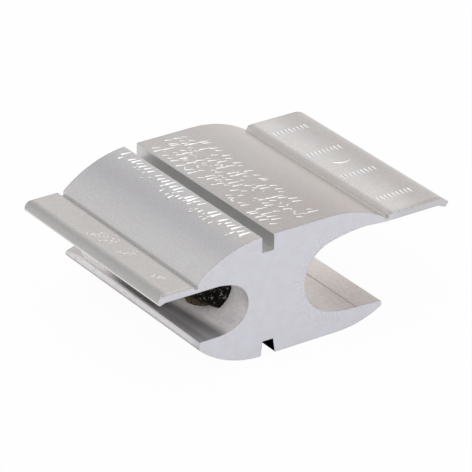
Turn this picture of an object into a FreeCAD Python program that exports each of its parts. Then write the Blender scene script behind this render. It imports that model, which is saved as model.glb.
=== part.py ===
"""Compression tap connector: one sawn length of an H-shaped aluminium extrusion.

Two open grooves lie back to back on a solid web. The wide one takes the run conductor and the
narrow one the tap conductor, and each has a flat tab that is folded over its wire before the
body is crimped. A bead of joint compound lies along the back of the tap groove.

The profile lies in the X-Z plane with the tap groove at -X, and the length runs along Y.
Sizes are in millimetres. The origin is the bottom centre of the overall box.
"""
import FreeCAD, Part
import math
import os

import Sketcher

# Every size below can be set by itself. Places across the profile are counted from the web's
# slots, which lie one above the other.
SIZES = {
    # sawn length
    "body_length": 57.0,
    # crimping faces: a crown above and a base below, each an arc, a flat and an arc
    "crown_radius": 28.5,
    "run_crown_offset": 17.1,
    "tap_base_offset": 1.7,
    "run_base_offset": 19.3,
    # run groove: a round seat that opens into a wider mouth
    "run_web_wall": 10.1,
    "run_seat_radius": 9.15,
    "run_flange_thickness": 4.85,
    "run_floor_drop": 0.8,
    "run_floor_blend": 27.0,
    "run_roof_rise": 1.05,
    "run_roof_blend": 40.0,
    "run_jaw_thickness": 5.1,
    "run_flange_reach": 12.5,
    "run_flange_fall": 0.35,
    "run_flange_nose": 1.22,
    # tap groove
    "tap_web_wall": 5.25,
    "tap_seat_radius": 5.75,
    "tap_flange_thickness": 8.4,
    "tap_floor_drop": 0.55,
    "tap_floor_blend": 14.0,
    "tap_roof_rise": 0.65,
    "tap_roof_blend": 14.0,
    "tap_flange_reach": 7.3,
    "tap_flange_lean": 0.2,
    "tap_flange_nose": 2.0,
    # run tab, hinged on a thin neck, with its end turned down
    "run_tab_reach": 31.05,
    "run_tab_thickness": 1.95,
    "run_tab_step": 0.45,
    "run_neck_thickness": 0.92,
    "run_neck_run": 0.6,
    "run_lip_angle": 40.0,
    "run_lip_bend": 5.0,
    "run_lip_length": 0.9,
    "run_lip_thickness": 1.4,
    "run_lip_root": 0.8,
    # tap tab
    "tap_tab_reach": 18.3,
    "tap_tab_thickness": 1.95,
    "tap_neck_thickness": 0.95,
    "tap_notch_floor": 0.7,
    "tap_notch_slope": 0.85,
    "tap_lip_bend": 1.65,
    "tap_lip_drop": 0.5,
    "tap_lip_tip": 0.2,
    "tap_lip_taper": 1.65,
    # slots that let the web squeeze evenly
    "crown_slot_width": 3.2,
    "crown_slot_depth": 4.0,
    "base_slot_mouth": 3.9,
    "base_slot_roof": 2.9,
    "base_slot_depth": 3.6,
    # broken edges
    "flange_edge": 0.4,
    "lip_edge": 0.3,
    "slot_edge": 0.3,
    "notch_edge": 0.5,
    # knocked corner at the far end of the tap flange
    "knock_length": 10.0,
    "knock_width": 3.4,
    "knock_depth": 1.1,
    # both tabs' near ends, rolled over where the saw went in
    "rolled_drop": 0.45,
    "rolled_run": 0.9,
    # joint compound in the tap groove
    "bead_start": 7.0,
    "bead_length": 38.5,
    "bead_near_radius": 5.2,
    "bead_near_depth": 5.6,
    "bead_near_tilt": 18.0,
    "bead_full_at": 8.5,
    "bead_full_radius": 6.8,
    "bead_full_depth": 7.15,
    "bead_middle_at": 22.0,
    "bead_middle_radius": 4.9,
    "bead_middle_depth": 6.0,
    "bead_middle_sag": 2.8,
    "bead_far_radius": 2.2,
    "bead_far_depth": 5.1,
    "bead_far_sag": 4.3,
}

doc = FreeCAD.newDocument("compression_tap_connector")

sheet = doc.addObject("Spreadsheet::Sheet", "Sizes")
for row, (alias, number) in enumerate(SIZES.items(), start=1):
    sheet.set(f"A{row}", alias.replace("_", " "))
    sheet.set(f"B{row}", str(number))
    sheet.setAlias(f"B{row}", alias)
doc.recompute()


def size(alias):
    """The number that the sheet holds for one size."""
    return float(sheet.get(alias))


def bound(formula):
    """A formula in size names, as the document's expressions write it."""
    for alias in sorted(SIZES, key=len, reverse=True):
        formula = formula.replace(f"<{alias}>", f"Sizes.{alias}")
    return formula


def number(formula):
    """The value of such a formula."""
    return float(sheet.evalExpression(bound(formula)))


# Heights and reaches that several features share, each written once.
RUN_FLOOR = "<run_flange_thickness>"
RUN_SEAT_Z = f"({RUN_FLOOR} + <run_floor_drop> + <run_seat_radius>)"
RUN_ROOF = f"({RUN_SEAT_Z} + <run_seat_radius> + <run_roof_rise>)"
CROWN_TOP = f"({RUN_ROOF} + <run_jaw_thickness>)"
RUN_SEAT_X = "(<run_web_wall> + <run_seat_radius>)"
RUN_UNDER = f"({RUN_ROOF} - <run_tab_step>)"
RUN_TAB_TOP = f"({RUN_UNDER} + <run_tab_thickness>)"
RUN_END = f"({RUN_SEAT_X} + <run_tab_reach>)"
RUN_CORNER = (f"({RUN_END} + <lip_edge>"
              " * (cos(<run_lip_angle>) + sin(<run_lip_angle>) - 1))")
TAP_FLOOR = "<tap_flange_thickness>"
TAP_SEAT_Z = f"({TAP_FLOOR} + <tap_floor_drop> + <tap_seat_radius>)"
TAP_ROOF = f"({TAP_SEAT_Z} + <tap_seat_radius> + <tap_roof_rise>)"
TAP_SEAT_X = "(<tap_web_wall> + <tap_seat_radius>)"
TAP_TAB_TOP = f"({TAP_ROOF} + <tap_tab_thickness>)"
TAP_END = f"({TAP_SEAT_X} + <tap_tab_reach>)"
SHIFT = f"(({TAP_END} - {RUN_END}) / 2)"
CROWN_CENTRE_Z = f"({CROWN_TOP} - <crown_radius>)"
RUN_NOTCH_X = ("(<run_crown_offset> + sqrt(<crown_radius> ^ 2"
               f" - ({RUN_UNDER} + <run_neck_thickness> - {CROWN_CENTRE_Z}) ^ 2))")
TAP_NOTCH_X = f"sqrt(<crown_radius> ^ 2 - ({TAP_TAB_TOP} - {CROWN_CENTRE_Z}) ^ 2)"


class Outline:
    """A chain of lines and arcs in one sketch, with the constraints that hold it."""

    def __init__(self, body, name, plane_role):
        self.sketch = body.newObject("Sketcher::SketchObject", name)
        plane = [f for f in body.Origin.OriginFeatures if f.Role == plane_role][0]
        self.sketch.AttachmentSupport = [(plane, "")]
        self.sketch.MapMode = "FlatFace"

    def line(self, start, end):
        return self.sketch.addGeometry(
            Part.LineSegment(FreeCAD.Vector(*start, 0), FreeCAD.Vector(*end, 0)))

    def arc(self, centre, start, end):
        """An arc that runs anticlockwise from start to end."""
        first = math.atan2(start[1] - centre[1], start[0] - centre[0])
        last = math.atan2(end[1] - centre[1], end[0] - centre[0])
        if last < first:
            last += 2 * math.pi
        circle = Part.Circle(FreeCAD.Vector(*centre, 0), FreeCAD.Vector(0, 0, 1),
                             math.dist(centre, start))
        return self.sketch.addGeometry(Part.ArcOfCircle(circle, first, last))

    def hold(self, kind, *where):
        return self.sketch.addConstraint(Sketcher.Constraint(kind, *where))

    def measure(self, kind, *where_and_formula):
        """A dimension whose value is a formula in the sheet's sizes."""
        *where, formula = where_and_formula
        index = self.hold(kind, *where, number(formula))
        self.sketch.setExpression(f"Constraints[{index}]", bound(formula))

    def angle(self, element, formula):
        """The slope of one line in degrees, counted from the sketch's own X direction."""
        index = self.hold("Angle", element, math.radians(number(formula)))
        self.sketch.setExpression(f"Constraints[{index}]", bound(formula) + " * 1 deg")


# Which point of an element is meant, and which of the sketch's axes.
START, END, CENTRE = range(1, 4)
X_AXIS, Z_AXIS = range(-1, -3, -1)
ORIGIN = (X_AXIS, START)


def on_circle_above(centre, radius, z, side):
    """The x at which a circle passes the height z, on its side +1 or -1."""
    return centre[0] + side * math.sqrt(radius ** 2 - (z - centre[1]) ** 2)


def blend_centre(seat, seat_radius, blend_radius, edge_z, above, side):
    """Centre of an arc that touches the seat from outside and ends level at edge_z."""
    z = edge_z + (blend_radius if above else -blend_radius)
    reach = math.sqrt((blend_radius - seat_radius) ** 2 - (z - seat[1]) ** 2)
    return (seat[0] + side * reach, z)


def touch(outer, outer_radius, inner):
    """The point where the inner circle touches the outer one from inside."""
    span = math.dist(outer, inner)
    return tuple(outer[i] + (inner[i] - outer[i]) * outer_radius / span for i in (0, 1))


def rocker(flat_end, edge):
    """Centre of the arc that leaves the base flat level and climbs to a flange's lower edge."""
    along, climb = edge[0] - flat_end, edge[1]
    return (flat_end, (along ** 2 + climb ** 2) / (2 * climb))


def draw_profile(body):
    """The die's outline without its slots: two jaws, two tabs and two flanges on one web."""
    crown = size("crown_radius")
    top = number(CROWN_TOP)

    # run side: shoulder, notch, tab and turned-down lip
    crown_run = (size("run_crown_offset"), top - crown)
    crown_tap = (0.0, top - crown)
    run_under = number(RUN_UNDER)
    run_top = number(RUN_TAB_TOP)
    notch_z = run_under + size("run_neck_thickness")
    run_notch = (on_circle_above(crown_run, crown, notch_z, 1), notch_z)
    run_tab_start = (run_notch[0] + size("run_neck_run"), run_top)
    slope = math.radians(size("run_lip_angle"))
    bend = size("run_lip_bend")
    along = (math.cos(slope), -math.sin(slope))
    lip_out = number(RUN_CORNER)
    bend_x = lip_out - bend * math.sin(slope) - size("run_lip_length") * along[0]
    bend_end = (bend_x + bend * math.sin(slope), run_top - bend * (1 - math.cos(slope)))
    lip_outer = (lip_out, bend_end[1] + size("run_lip_length") * along[1])
    lip_inner = (lip_outer[0] - size("run_lip_thickness") * math.sin(slope),
                 lip_outer[1] - size("run_lip_thickness") * math.cos(slope))
    lip_root = (bend_x + size("run_lip_root"), run_under)

    # run groove
    run_seat = (number(RUN_SEAT_X), number(RUN_SEAT_Z))
    seat_r = size("run_seat_radius")
    roof_r = size("run_roof_blend")
    roof_c = blend_centre(run_seat, seat_r, roof_r, number(RUN_ROOF), False, 1)
    roof_edge = (roof_c[0], number(RUN_ROOF))
    seat_top = touch(roof_c, roof_r, run_seat)
    floor_r = size("run_floor_blend")
    floor_c = blend_centre(run_seat, seat_r, floor_r, number(RUN_FLOOR), True, 1)
    floor_edge = (floor_c[0], number(RUN_FLOOR))
    seat_low = touch(floor_c, floor_r, run_seat)
    under_start = (run_notch[0], run_under)
    flange_x = run_seat[0] + size("run_flange_reach")
    flange_top = (flange_x, floor_edge[1] - size("run_flange_fall"))
    flange_low = (flange_x, flange_top[1] - size("run_flange_nose"))
    base_run = rocker(size("run_base_offset"), flange_low)

    # tap side flange and groove
    tap_seat = (-number(TAP_SEAT_X), number(TAP_SEAT_Z))
    tap_r = size("tap_seat_radius")
    tap_floor_r = size("tap_floor_blend")
    tap_roof_r = size("tap_roof_blend")
    tap_floor_c = blend_centre(tap_seat, tap_r, tap_floor_r, number(TAP_FLOOR), True, -1)
    tap_roof_c = blend_centre(tap_seat, tap_r, tap_roof_r, number(TAP_ROOF), False, -1)
    tap_low = touch(tap_floor_c, tap_floor_r, tap_seat)
    tap_high = touch(tap_roof_c, tap_roof_r, tap_seat)
    tap_flange_x = tap_seat[0] - size("tap_flange_reach")
    tap_flange_top = (tap_flange_x, number(TAP_FLOOR))
    tap_flange_low = (tap_flange_x - size("tap_flange_lean"),
                      tap_flange_top[1] - size("tap_flange_nose"))
    base_tap = rocker(-size("tap_base_offset"), tap_flange_low)

    # tap tab and its notch
    tap_roof = number(TAP_ROOF)
    tap_top = number(TAP_TAB_TOP)
    tap_end = -number(TAP_END)
    lip_tip = (tap_end + size("tap_lip_tip"), tap_roof - size("tap_lip_drop"))
    lip_start = (lip_tip[0] + size("tap_lip_taper"), tap_roof)
    lip_bend = size("tap_lip_bend")
    lip_side = (tap_end, tap_top - lip_bend)
    lip_top = (tap_end + lip_bend, tap_top)
    notch_x = on_circle_above(crown_tap, crown, tap_top, -1)
    root_z = tap_roof + size("tap_neck_thickness")
    foot = (notch_x, root_z)
    notch_in = (notch_x - size("tap_notch_floor"), root_z)
    notch_out = (notch_in[0] - size("tap_notch_slope"), tap_top)

    o = Outline(body, "die_profile", "XZ_Plane")
    crown_flat = o.line((0, top), (crown_run[0], top))
    run_shoulder = o.arc(crown_run, run_notch, (crown_run[0], top))
    notch_face = o.line(run_notch, run_tab_start)
    run_tab = o.line(run_tab_start, (bend_x, run_top))
    lip_arc = o.arc((bend_x, run_top - bend), bend_end, (bend_x, run_top))
    lip_face = o.line(bend_end, lip_outer)
    lip_end = o.line(lip_outer, lip_inner)
    lip_inside = o.line(lip_inner, lip_root)
    tab_under = o.line(lip_root, under_start)
    roof_ramp = o.line(under_start, roof_edge)
    roof_arc = o.arc(roof_c, roof_edge, seat_top)
    seat_arc = o.arc(run_seat, seat_top, seat_low)
    floor_arc = o.arc(floor_c, seat_low, floor_edge)
    floor_ramp = o.line(floor_edge, flange_top)
    flange_end = o.line(flange_top, flange_low)
    run_base = o.arc(base_run, (base_run[0], 0), flange_low)
    base_flat = o.line((base_run[0], 0), (base_tap[0], 0))
    tap_base = o.arc(base_tap, tap_flange_low, (base_tap[0], 0))
    tap_flange_end = o.line(tap_flange_low, tap_flange_top)
    tap_floor = o.line(tap_flange_top, (tap_floor_c[0], tap_flange_top[1]))
    tap_floor_arc = o.arc(tap_floor_c, (tap_floor_c[0], tap_flange_top[1]), tap_low)
    tap_seat_arc = o.arc(tap_seat, tap_low, tap_high)
    tap_roof_arc = o.arc(tap_roof_c, tap_high, (tap_roof_c[0], tap_roof))
    tap_under = o.line((tap_roof_c[0], tap_roof), lip_start)
    tip_inside = o.line(lip_start, lip_tip)
    tip_outside = o.line(lip_tip, lip_side)
    tip_arc = o.arc((lip_top[0], lip_side[1]), lip_top, lip_side)
    tap_tab = o.line(lip_top, notch_out)
    notch_slope = o.line(notch_out, notch_in)
    notch_root = o.line(notch_in, foot)
    notch_foot = o.line(foot, (notch_x, tap_top))
    tap_shoulder = o.arc(crown_tap, (0, top), (notch_x, tap_top))

    # smooth joints, then plain corners
    for one, its_end, other, other_end in (
            (crown_flat, END, run_shoulder, END), (run_tab, END, lip_arc, END),
            (lip_arc, START, lip_face, START), (roof_arc, END, seat_arc, START),
            (seat_arc, END, floor_arc, START), (run_base, START, base_flat, START),
            (base_flat, END, tap_base, END), (tap_floor, END, tap_floor_arc, START),
            (tap_floor_arc, END, tap_seat_arc, START), (tap_seat_arc, END, tap_roof_arc, START),
            (tap_roof_arc, END, tap_under, START), (tip_outside, END, tip_arc, END),
            (tip_arc, START, tap_tab, START), (crown_flat, START, tap_shoulder, START)):
        if (one, other) != (tip_outside, tip_arc):
            o.hold("Tangent", one, its_end, other, other_end)
        else:
            o.hold("Coincident", one, its_end, other, other_end)
    for one, its_end, other, other_end in (
            (run_shoulder, START, notch_face, START), (notch_face, END, run_tab, START),
            (lip_face, END, lip_end, START), (lip_end, END, lip_inside, START),
            (lip_inside, END, tab_under, START), (tab_under, END, roof_ramp, START),
            (roof_ramp, END, roof_arc, START), (floor_arc, END, floor_ramp, START),
            (floor_ramp, END, flange_end, START), (flange_end, END, run_base, END),
            (tap_base, START, tap_flange_end, START), (tap_flange_end, END, tap_floor, START),
            (tap_under, END, tip_inside, START), (tip_inside, END, tip_outside, START),
            (tap_tab, END, notch_slope, START), (notch_slope, END, notch_root, START),
            (notch_root, END, notch_foot, START), (notch_foot, END, tap_shoulder, END)):
        o.hold("Coincident", one, its_end, other, other_end)
    for level in (crown_flat, run_tab, tab_under, base_flat, tap_floor, tap_under, tap_tab,
                  notch_root):
        o.hold("Horizontal", level)
    for plumb in (flange_end, notch_foot):
        o.hold("Vertical", plumb)
    o.hold("Vertical", roof_arc, START, roof_arc, CENTRE)
    o.hold("Vertical", floor_arc, END, floor_arc, CENTRE)
    o.hold("Horizontal", tip_arc, END, tip_arc, CENTRE)
    o.hold("Vertical", tab_under, END, run_shoulder, START)
    o.hold("Perpendicular", lip_face, lip_end)
    o.hold("PointOnObject", crown_flat, START, Z_AXIS)
    o.hold("PointOnObject", base_flat, START, X_AXIS)
    o.hold("Equal", run_shoulder, tap_shoulder)
    o.hold("Horizontal", notch_foot, END, tap_tab, END)

    # crown and base
    o.measure("DistanceY", *ORIGIN, crown_flat, START, CROWN_TOP)
    o.measure("DistanceX", crown_flat, START, crown_flat, END, "<run_crown_offset>")
    o.measure("Radius", run_shoulder, "<crown_radius>")
    o.measure("DistanceY", flange_end, END, flange_end, START, "<run_flange_nose>")
    o.measure("DistanceY", tap_flange_end, START, tap_flange_end, END, "<tap_flange_nose>")
    o.measure("DistanceX", *ORIGIN, base_flat, START, "<run_base_offset>")
    o.measure("DistanceX", base_flat, END, *ORIGIN, "<tap_base_offset>")
    # run groove
    o.measure("DistanceX", *ORIGIN, seat_arc, CENTRE, RUN_SEAT_X)
    o.measure("DistanceY", *ORIGIN, seat_arc, CENTRE, RUN_SEAT_Z)
    o.measure("Radius", seat_arc, "<run_seat_radius>")
    o.measure("Radius", roof_arc, "<run_roof_blend>")
    o.measure("Radius", floor_arc, "<run_floor_blend>")
    o.measure("DistanceY", *ORIGIN, roof_arc, START, RUN_ROOF)
    o.measure("DistanceY", *ORIGIN, floor_arc, END, RUN_FLOOR)
    o.measure("DistanceX", seat_arc, CENTRE, flange_end, START, "<run_flange_reach>")
    o.measure("DistanceY", flange_end, START, floor_arc, END, "<run_flange_fall>")
    # run tab
    o.measure("DistanceY", *ORIGIN, tab_under, START, RUN_UNDER)
    o.measure("DistanceY", tab_under, START, run_tab, START, "<run_tab_thickness>")
    o.measure("DistanceY", tab_under, START, run_shoulder, START, "<run_neck_thickness>")
    o.measure("DistanceX", run_shoulder, START, run_tab, START, "<run_neck_run>")
    o.measure("DistanceX", *ORIGIN, lip_face, END, RUN_CORNER)
    o.measure("Radius", lip_arc, "<run_lip_bend>")
    o.angle(lip_face, "-<run_lip_angle>")
    o.measure("Distance", lip_face, "<run_lip_length>")
    o.measure("Distance", lip_end, "<run_lip_thickness>")
    o.measure("DistanceX", run_tab, END, lip_inside, END, "<run_lip_root>")
    # tap groove and flange
    o.measure("DistanceX", tap_seat_arc, CENTRE, *ORIGIN, TAP_SEAT_X)
    o.measure("DistanceY", *ORIGIN, tap_seat_arc, CENTRE, TAP_SEAT_Z)
    o.measure("Radius", tap_seat_arc, "<tap_seat_radius>")
    o.measure("Radius", tap_floor_arc, "<tap_floor_blend>")
    o.measure("Radius", tap_roof_arc, "<tap_roof_blend>")
    o.measure("DistanceY", *ORIGIN, tap_floor, START, TAP_FLOOR)
    o.measure("DistanceY", *ORIGIN, tap_under, START, TAP_ROOF)
    o.measure("DistanceX", tap_floor, START, tap_seat_arc, CENTRE, "<tap_flange_reach>")
    o.measure("DistanceX", tap_flange_end, START, tap_floor, START, "<tap_flange_lean>")
    # tap tab
    o.measure("DistanceY", tap_under, START, tap_tab, START, "<tap_tab_thickness>")
    o.measure("DistanceY", tap_under, START, notch_root, START, "<tap_neck_thickness>")
    o.measure("DistanceX", notch_root, START, notch_root, END, "<tap_notch_floor>")
    o.measure("DistanceX", notch_slope, START, notch_slope, END, "<tap_notch_slope>")
    o.measure("DistanceX", tip_outside, END, *ORIGIN, TAP_END)
    o.measure("Radius", tip_arc, "<tap_lip_bend>")
    o.measure("DistanceX", tip_outside, END, tip_outside, START, "<tap_lip_tip>")
    o.measure("DistanceY", tip_outside, START, tap_under, START, "<tap_lip_drop>")
    o.measure("DistanceX", tip_inside, END, tip_inside, START, "<tap_lip_taper>")
    return o.sketch


def draw_crown_slot(body):
    """A square slot down the middle of the crown."""
    half = size("crown_slot_width") / 2
    top = number(CROWN_TOP)
    low = top - size("crown_slot_depth")
    o = Outline(body, "crown_slot_section", "XZ_Plane")
    floor = o.line((-half, low), (half, low))
    right = o.line((half, low), (half, top))
    mouth = o.line((half, top), (-half, top))
    left = o.line((-half, top), (-half, low))
    for one, other in ((floor, right), (right, mouth), (mouth, left), (left, floor)):
        o.hold("Coincident", one, END, other, START)
    o.hold("Horizontal", mouth)
    o.hold("Vertical", right)
    o.hold("Vertical", left)
    o.hold("Symmetric", floor, START, floor, END, Z_AXIS)
    o.measure("DistanceX", floor, START, floor, END, "<crown_slot_width>")
    o.measure("DistanceY", right, START, right, END, "<crown_slot_depth>")
    o.measure("DistanceY", *ORIGIN, mouth, START, CROWN_TOP)
    return o.sketch


def draw_base_slot(body):
    """A slot that widens towards its mouth, up the middle of the base."""
    mouth_half = size("base_slot_mouth") / 2
    roof_half = size("base_slot_roof") / 2
    deep = size("base_slot_depth")
    o = Outline(body, "base_slot_section", "XZ_Plane")
    mouth = o.line((-mouth_half, 0), (mouth_half, 0))
    right = o.line((mouth_half, 0), (roof_half, deep))
    roof = o.line((roof_half, deep), (-roof_half, deep))
    left = o.line((-roof_half, deep), (-mouth_half, 0))
    for one, other in ((mouth, right), (right, roof), (roof, left), (left, mouth)):
        o.hold("Coincident", one, END, other, START)
    o.hold("Symmetric", mouth, START, mouth, END, ORIGIN[0], ORIGIN[1])
    o.hold("Horizontal", mouth)
    o.hold("Symmetric", roof, END, roof, START, Z_AXIS)
    o.measure("DistanceX", mouth, START, mouth, END, "<base_slot_mouth>")
    o.measure("DistanceX", roof, END, roof, START, "<base_slot_roof>")
    o.measure("DistanceY", *ORIGIN, roof, START, "<base_slot_depth>")
    return o.sketch


def long_edges(feature, corners):
    """Names of the edges that run the whole length through the given profile corners."""
    names = []
    for corner in corners:
        for place, edge in enumerate(feature.Shape.Edges, start=1):
            ends = [vertex.Point for vertex in edge.Vertexes]
            if len(ends) != 2 or abs(ends[0].y - ends[1].y) < size("body_length") / 2:
                continue
            if all(math.dist((end.x, end.z), corner) < 0.01 for end in ends):
                names.append(f"Edge{place}")
    return names


def round_edges(body, name, base, corners, radius_alias):
    """A fillet along the length at each of the given profile corners."""
    fillet = body.newObject("PartDesign::Fillet", name)
    fillet.Base = (base, long_edges(base, corners))
    fillet.setExpression("Radius", bound(f"<{radius_alias}>"))
    doc.recompute()
    return fillet


def cut_through(body, name, sketch):
    """A pocket that runs the whole length of the body, both ways from its middle."""
    before = body.Tip.Shape.Volume
    pocket = body.newObject("PartDesign::Pocket", name)
    pocket.Profile = sketch
    pocket.Type = "ThroughAll"
    pocket.SideType = "Symmetric"
    doc.recompute()
    if pocket.Shape.Volume >= before:
        raise RuntimeError(f"{name} cut nothing")
    return pocket


def build_extrusion():
    """The sawn length of extrusion, with its slots and broken edges."""
    body = doc.addObject("PartDesign::Body", "extrusion")
    profile = draw_profile(body)
    bar = body.newObject("PartDesign::Pad", "bar")
    bar.Profile = profile
    bar.SideType = "Symmetric"
    bar.setExpression("Length", bound("<body_length>"))
    doc.recompute()
    cut_through(body, "crown_slot", draw_crown_slot(body))
    slotted = cut_through(body, "base_slot", draw_base_slot(body))

    flange_x = number(f"{RUN_SEAT_X} + <run_flange_reach>")
    flange_z = number(f"{RUN_FLOOR} - <run_flange_fall>")
    flanges = round_edges(body, "flange_edges", slotted, [
        (flange_x, flange_z), (flange_x, flange_z - size("run_flange_nose")),
        (-number(f"{TAP_SEAT_X} + <tap_flange_reach> + <tap_flange_lean>"),
         number(f"{TAP_FLOOR} - <tap_flange_nose>"))], "flange_edge")

    slope = math.radians(size("run_lip_angle"))
    lip_x = number(RUN_CORNER)
    lip_z = (number(RUN_TAB_TOP) - size("run_lip_bend") * (1 - math.cos(slope))
             - size("run_lip_length") * math.sin(slope))
    thick = size("run_lip_thickness")
    tip = (-number(f"{TAP_END} - <tap_lip_tip>"), number(f"{TAP_ROOF} - <tap_lip_drop>"))
    lips = round_edges(body, "lip_edges", flanges, [
        (lip_x, lip_z), (lip_x - thick * math.sin(slope), lip_z - thick * math.cos(slope)),
        tip], "lip_edge")

    half = size("crown_slot_width") / 2
    crown = size("crown_radius")
    shoulder_z = number(CROWN_TOP) - crown + math.sqrt(crown ** 2 - half ** 2)
    slots = round_edges(body, "slot_edges", lips, [
        (-half, shoulder_z), (half, number(CROWN_TOP)), (-size("base_slot_mouth") / 2, 0),
        (size("base_slot_mouth") / 2, 0)], "slot_edge")
    round_edges(body, "notch_edges", slots, [
        (-number(TAP_NOTCH_X), number(TAP_TAB_TOP)),
        (number(RUN_NOTCH_X) + size("run_neck_run"), number(RUN_TAB_TOP))], "notch_edge")
    body.setExpression("Placement.Base.x", bound(SHIFT))
    doc.recompute()
    return body


def place(thing, x, y, z, yaw="0", pitch="0", roll="0"):
    """Placement of an object by formulas, its turns in degrees."""
    spot = f"vector({x}; {y}; {z})"
    thing.setExpression("Placement", bound(f"placement({spot}; rotation({yaw}; {pitch}; {roll}))"))


def knock_corner(body):
    """The body with the corner of its tap flange knocked off at the far end."""
    knock = doc.addObject("Part::Wedge", "knock")
    # A pyramid on the sawn face. One of its sides is the knocked plane, which passes through
    # three points: one down the flange end, one across the floor and one along the edge.
    slant = "atan(<knock_depth> / <knock_width>)"
    for side, formula in (
            ("Xmin", "-2 * <knock_width>"), ("Xmax", "<knock_width>"),
            ("Ymin", "0"), ("Ymax", "<knock_length>"),
            ("Zmin", "0"), ("Zmax", "2 * <knock_depth>"),
            ("X2min", f"-<knock_depth> * sin({slant})"),
            ("X2max", f"-<knock_depth> * sin({slant})"),
            ("Z2min", f"<knock_depth> * cos({slant})"),
            ("Z2max", f"<knock_depth> * cos({slant})")):
        knock.setExpression(side, bound(formula))
    place(knock, f"-({TAP_SEAT_X} + <tap_flange_reach>) + {SHIFT}", "<body_length> / 2",
          f"{TAP_FLOOR} - <knock_depth>", "180", slant)
    knocked = doc.addObject("Part::Cut", "knocked_extrusion")
    knocked.Base = body
    knocked.Tool = knock
    doc.recompute()
    if knocked.Shape.Volume >= body.Shape.Volume:
        raise RuntimeError("the knock took nothing off the flange")
    return knocked


def roll_end(before, name, low_x, high_x, top):
    """The body with one tab's upper edge rolled over at the near end, between two places in X."""
    slant = "atan(<rolled_drop> / <rolled_run>)"
    roll = doc.addObject("Part::Box", f"{name}_roll")
    roll.setExpression("Length", bound(f"{high_x} - {low_x}"))
    roll.setExpression("Width", bound("4 * <rolled_run>"))
    roll.setExpression("Height", bound("4 * <rolled_drop>"))
    place(roll, f"{low_x} + {SHIFT}", "-<body_length> / 2 - <rolled_run>",
          f"{top} - 2 * <rolled_drop>", roll=slant)
    rolled = doc.addObject("Part::Cut", f"{name}_rolled")
    rolled.Base = before
    rolled.Tool = roll
    doc.recompute()
    if rolled.Shape.Volume >= before.Shape.Volume:
        raise RuntimeError(f"{name} was not rolled over")
    return rolled


def lay_bead(body):
    """Compound squeezed along the back of the tap groove, thinning towards the far end."""
    rings = []
    for name, station, sag, pitch in (
            ("near", "0", "0", "<bead_near_tilt>"),
            ("full", "<bead_full_at>", "0", "0"),
            ("middle", "<bead_middle_at>", "<bead_middle_sag>", "0"),
            ("far", "<bead_length>", "<bead_far_sag>", "0")):
        ring = doc.addObject("Part::Circle", f"bead_{name}_ring")
        ring.setExpression("Radius", bound(f"<bead_{name}_radius>"))
        place(ring, f"-(<tap_web_wall> + <bead_{name}_depth> - <bead_{name}_radius>) + {SHIFT}",
              f"-<body_length> / 2 + <bead_start> + {station}", f"{TAP_SEAT_Z} - {sag}",
              roll=f"90 + {pitch}")
        rings.append(ring)
    sausage = doc.addObject("Part::Loft", "bead_outline")
    sausage.Sections = rings
    sausage.Solid = True
    bead = doc.addObject("Part::Cut", "bead")
    bead.Base = sausage
    bead.Tool = body
    doc.recompute()
    return bead


def check(objects):
    """Stop if any object of the document failed, or a sub-part has no sound shape."""
    for thing in doc.Objects:
        if "Invalid" in thing.State or "Error" in thing.State:
            raise RuntimeError(f"{thing.Name} failed: {thing.State}")
        if thing.TypeId == "Sketcher::SketchObject" and not thing.FullyConstrained:
            raise RuntimeError(f"{thing.Name} is not fully constrained")
    for part in objects:
        if part.Shape.isNull() or not part.Shape.isValid():
            raise RuntimeError(f"{part.Label} has no valid shape")


extrusion = build_extrusion()
knocked_extrusion = knock_corner(extrusion)
tap_tab_done = roll_end(knocked_extrusion, "tap_tab", f"(-{TAP_END} - <tap_lip_bend>)",
                        f"(-{TAP_NOTCH_X} - <tap_notch_floor> / 2)", TAP_TAB_TOP)
tap_body = roll_end(tap_tab_done, "run_tab", RUN_NOTCH_X,
                    f"({RUN_END} + <run_lip_bend>)", RUN_TAB_TOP)
tap_body.Label = "tap_body"
inhibitor_bead = lay_bead(tap_body)
inhibitor_bead.Label = "inhibitor_bead"
doc.recompute()
sub_parts = [tap_body, inhibitor_bead]
check(sub_parts)

os.makedirs("parts", exist_ok=True)
for part in sub_parts:
    part.Shape.exportStep(f"parts/{part.Label}.step")
    box = part.Shape.BoundBox
    print(part.Label, "volume", round(part.Shape.Volume, 1), "box",
          [round(v, 2) for v in (box.XMin, box.YMin, box.ZMin, box.XMax, box.YMax, box.ZMax)])
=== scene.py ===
"""Looks of the compression tap connector: extruded and sawn aluminium, stamped ticks, joint compound."""
import math

import bmesh
import bpy
from bpy.props import FloatProperty, FloatVectorProperty, IntProperty, PointerProperty
from mathutils import Matrix, Vector, noise


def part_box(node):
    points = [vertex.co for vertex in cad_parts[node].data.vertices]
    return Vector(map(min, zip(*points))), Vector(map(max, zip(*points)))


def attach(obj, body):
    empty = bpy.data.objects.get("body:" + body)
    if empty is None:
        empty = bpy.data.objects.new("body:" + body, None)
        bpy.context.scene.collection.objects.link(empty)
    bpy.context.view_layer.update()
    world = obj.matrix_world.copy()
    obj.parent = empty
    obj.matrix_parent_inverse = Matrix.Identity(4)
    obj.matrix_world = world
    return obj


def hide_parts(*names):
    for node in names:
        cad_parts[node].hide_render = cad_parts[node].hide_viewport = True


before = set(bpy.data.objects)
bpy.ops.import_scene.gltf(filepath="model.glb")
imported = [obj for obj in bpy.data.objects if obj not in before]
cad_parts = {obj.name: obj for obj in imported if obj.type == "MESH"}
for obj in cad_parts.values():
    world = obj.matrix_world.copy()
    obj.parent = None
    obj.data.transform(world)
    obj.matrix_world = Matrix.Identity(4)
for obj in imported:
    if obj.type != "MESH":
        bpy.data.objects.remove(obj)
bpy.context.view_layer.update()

bl_info = {
    "name": "Compression tap connector",
    "version": (1, 0, 0),
    "blender": (4, 5, 0),
    "location": "View3D > Sidebar > Tap connector",
    "description": "Finishes and small details of an aluminium compression tap connector",
    "category": "Object",
}

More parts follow.
